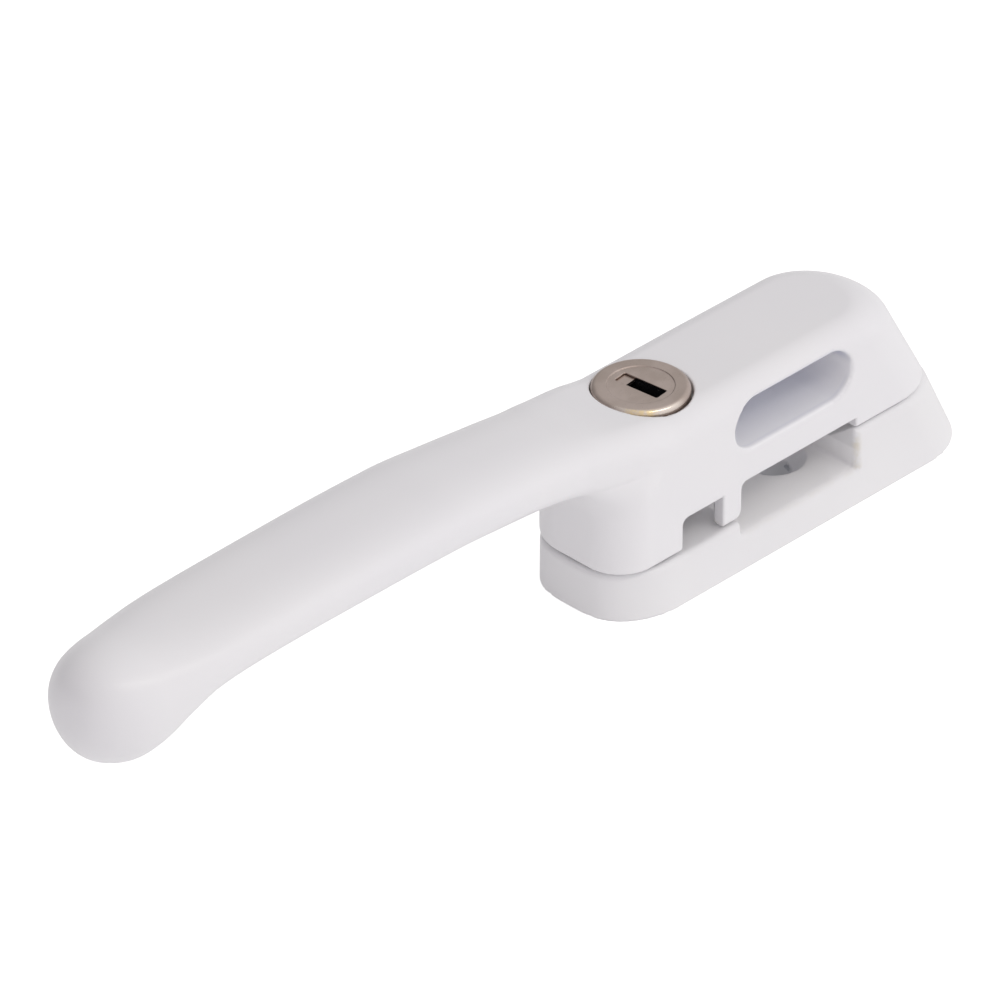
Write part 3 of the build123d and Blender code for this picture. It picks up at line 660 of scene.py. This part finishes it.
SURFACES = {
    "handle_coat": (powder_coat, dict(tone=(0.86, 0.853, 0.872), seed=0.0)),
    "base_coat": (powder_coat, dict(tone=(0.845, 0.84, 0.852), seed=0.13,
                                    hole_shadow_at=(-0.01205, -0.0003, 0.0028))),
    "spindle_steel": (metal, dict(tone=(0.50, 0.50, 0.51), rough=0.26, grain=900.0,
                                  stretch=(1, 1, 12))),
    "bush_brass": (metal, dict(tone=(0.62, 0.45, 0.20), rough=0.30, grain=900.0,
                               stretch=(1, 1, 10), stain=(0.24, 0.14, 0.06))),
    "washer_nylon": (nylon, {}),
    "spring_steel": (metal, dict(tone=(0.16, 0.17, 0.20), rough=0.33, grain=700.0,
                                 stain=(0.10, 0.06, 0.04))),
    "zinc_steel": (metal, dict(tone=(0.52, 0.54, 0.56), rough=0.34, grain=500.0,
                               stain=(0.62, 0.60, 0.52))),
    "clip_steel": (metal, dict(tone=(0.10, 0.10, 0.105), rough=0.42, grain=800.0,
                               stain=(0.16, 0.12, 0.09))),
    "barrel_zinc": (metal, dict(tone=(0.42, 0.42, 0.43), rough=0.44, grain=600.0,
                                stain=(0.28, 0.28, 0.29))),
    "plug_brass": (metal, dict(tone=(0.58, 0.42, 0.19), rough=0.32, grain=900.0,
                               stretch=(1, 1, 10), stain=(0.22, 0.13, 0.06), keyway=True)),
    "satin_nickel": (satin_nickel, {}),
    "wafer_brass": (metal, dict(tone=(0.62, 0.47, 0.22), rough=0.30, grain=1200.0,
                                stretch=(8, 1, 1), stain=(0.26, 0.16, 0.07))),
    "spring_bronze": (metal, dict(tone=(0.50, 0.30, 0.13), rough=0.30, grain=1500.0)),
}
materials = {name: new_material(name, build, **values)
             for name, (build, values) in SURFACES.items()}

slots = {part["node"]: part["material_slot"] for part in frame["record"]["subparts"]}
for name, obj in frame["nodes"].items():
    obj.data.materials.clear()
    obj.data.materials.append(materials[slots[name]])
handle_skin.data.materials.append(materials["handle_coat"])
base_skin.data.materials.append(materials["base_coat"])
face_skin.data.materials.append(materials["satin_nickel"])


# --- Painted attributes: limits and widths below are places in millimetres ---
def paint(obj, name, values):
    attribute = obj.data.attributes.new(name, "FLOAT", "POINT")
    attribute.data.foreach_set("value", np.clip(values, 0, 1).astype(np.float32))


def band(value, low, high, soft):
    return (smooth(low - soft, low + soft, value)
            * smooth(high + soft, high - soft, value))


def paint_face(x, y, z):
    """Part of the rim given a painted highlight, and the shorter part within it given painted
    brassy streaks of highlight.
    """
    dx = x - LOCK_X
    # degrees round the face, zero towards -x -y, rising towards +x -y
    angle = np.degrees(np.arctan2(0.704 * dx - 0.710 * y, -0.710 * dx - 0.704 * y))
    on_rim = smooth(6.2, 6.45, np.hypot(dx, y)) * (z > 28.3)
    paint(face_skin, "rim", on_rim * smooth(-45.0, -20.0, angle) * smooth(64.0, 40.0, angle))
    paint(face_skin, "gold_highlight", on_rim * smooth(-26.0, -10.0, angle) * smooth(22.0, 10.0, angle))


def paint_base(x, y, z):
    side = np.abs(y)
    # thin coat: upright edges of the boss wall, rim of the recess, top edge of the boss
    from_boss = (x - BOSS_LEFT) ** 2
    edge = np.exp(-(from_boss / 0.35 + (side - 10.1) ** 2 / 0.5)) * (z > 5.4)
    lip = np.exp(-((side - 10.05) ** 2 / 0.25 + (z - 5.35) ** 2 / 0.12)) * (x > -31) * (x < -9.2)
    boss_rim = np.exp(-(from_boss / 0.2 + (z - 11.7) ** 2 / 0.15))
    paint(base_skin, "thin", edge + 0.15 * lip + 0.5 * boss_rim)
    # painted light on the recess floor, painted blue-grey shade in the screw hole in it
    recess = band(x, -31.9, -8.6, soft=0.5) * band(y, -9.6, 9.6, soft=0.4) * (z < 8.5) * (z > 3.0)
    paint(base_skin, "painted_light", recess)
    hole = smooth(4.85, 4.45, np.hypot(x - SCREW_X, y)) * (z < 5.7)
    paint(base_skin, "painted_shade", hole * 0.2)


def paint_handle(x, y, z):
    # thin coat at the foot of the -y wall, beside the long slot
    foot = np.exp(-((z - 8.1) ** 2 / 0.15)) * (x > -36) * (x < -31) * (y < -7)
    paint(handle_skin, "thin", 0.5 * foot)
    # side pocket: painted blue-grey shade under its roof, painted light low down and at its +x
    # end
    pocket = (side_pocket(x, y, z) < 0.35) & (y > -9.7) & (z > 16.6) & (y < 4.0)
    end = smooth(-12.0, -10.3, x) * smooth(24.0, 22.0, z)
    roof = 0.10 + 0.78 * smooth(22.3, 25.7, z) * smooth(-10.0, -8.0, y)
    roof = (roof + 0.12 * smooth(-8.5, -2.0, y)) * (1.0 - 0.8 * end)
    roof += (0.55 * smooth(-22.0, -14.0, x) * smooth(22.4, 24.6, z)
             * smooth(-9.8, -7.0, y) * (1.0 - end))
    # painted shade: a fine dark line inside the pocket's lip
    line = 0.24 * np.exp(-((y + 9.0) ** 2) / 0.02) * smooth(21.5, 20.0, z)
    # hollow behind the wall: painted light, with a faint painted blue-grey shade
    hollow = (np.abs(y) < 7.95) & (x > -38.1) & (x < -9.1) & (z < 16.6)
    low = np.maximum(smooth(21.5, 19.0, z), end)
    paint(handle_skin, "painted_shade",
          np.where(pocket, np.clip(roof, 0, 1) + line, 0.0) + np.where(hollow, 0.10, 0.0))
    paint(handle_skin, "painted_light", np.where(pocket, low, 0.0) + np.where(hollow, 1.0, 0.0))


paint_face(*face_verts.T)
paint_base(*base_verts.T)
paint_handle(*handle_verts.T)


# --- Floor, light and camera, in metres ---
def add_floor(half=6, drop=0.00002):
    mesh = bpy.data.meshes.new("floor")
    corners = [(-half, -half, 0), (half, -half, 0), (half, half, 0), (-half, half, 0)]
    mesh.from_pydata(corners, [], [(0, 1, 2, 3)])
    floor = place("floor", mesh)
    floor.location.z = -drop
    mesh.materials.append(new_material("floor_white", floor_white))


def add_world():
    """White tent: brighter towards +x -y, dimmer opposite, a little rosy towards -x."""
    world = bpy.data.worlds.new("studio")
    scene.world = world
    world.use_nodes = True
    w = Shader(world.node_tree)
    direction = w.node("TexCoord").outputs["Generated"]
    axes = w.node("SeparateXYZ", {0: direction}).outputs
    height = w.node("ValToRGB", {"Fac": axes["Z"]})
    stops = ((0.0, (0.605, 0.60, 0.612, 1)), (0.95, (0.79, 0.78, 0.775, 1)))
    for element, (position, colour) in zip(height.color_ramp.elements, stops):
        element.position = position
        element.color = colour
    side = w.node("VectorMath", {0: direction, 1: (0.55, -0.835, 0.0)},
                  operation="DOT_PRODUCT").outputs["Value"]
    # strength: 1 plus this much of the side measure
    strength = w.node("Math", {0: side, 1: 0.565, 2: 1.0}, operation="MULTIPLY_ADD").outputs[0]
    left = w.math("MULTIPLY", axes["X"], -1.0, clamp=True)
    colour = w.layer(height.outputs[0], (0.905, 0.86, 0.90), amount=left, blend="MULTIPLY")
    background = w.node("Background", {"Color": colour, "Strength": strength})
    w.node("OutputWorld", {"Surface": background.outputs[0]})


def pose(x_axis, y_axis, z_axis, origin):
    matrix = Matrix((x_axis, y_axis, z_axis)).transposed().to_4x4()
    matrix.translation = origin
    return matrix


def add_strip():
    """Strip box high on the -y side, for a bright streak on the rim of the lock face."""
    lamp = bpy.data.lights.new("strip", "AREA")
    lamp.shape = "RECTANGLE"
    lamp.size, lamp.size_y = 0.56, 0.09
    lamp.energy = 0.74
    lamp.color = (1.0, 0.96, 0.89)
    toward = Vector((0.10, -0.58, 0.78)).normalized()
    along = Vector((0.624, -0.155, -0.133))
    along = (along - toward * along.dot(toward)).normalized()
    distance = 0.9
    origin = Vector((LOCK_X * MM, 0, 0.03)) + toward * distance
    place("strip", lamp).matrix_world = pose(along, toward.cross(along), toward, origin)


def add_camera():
    data = bpy.data.cameras.new("camera")
    data.sensor_width = 36.0
    data.lens = 360.0
    data.clip_start, data.clip_end = 0.05, 20.0
    camera = place("camera", data)
    right = Vector((0.70401, -0.71019, 0.0)).normalized()
    forward = Vector((0.59153, 0.58638, -0.55339)).normalized()
    up = right.cross(forward).normalized()
    camera.matrix_world = pose(right, up, -forward, (-0.85175, -0.77732, 0.75694))
    scene.camera = camera


add_floor()
add_world()
add_strip()
add_camera()
scene.view_settings.view_transform = "Standard"
scene.view_settings.look = "None"
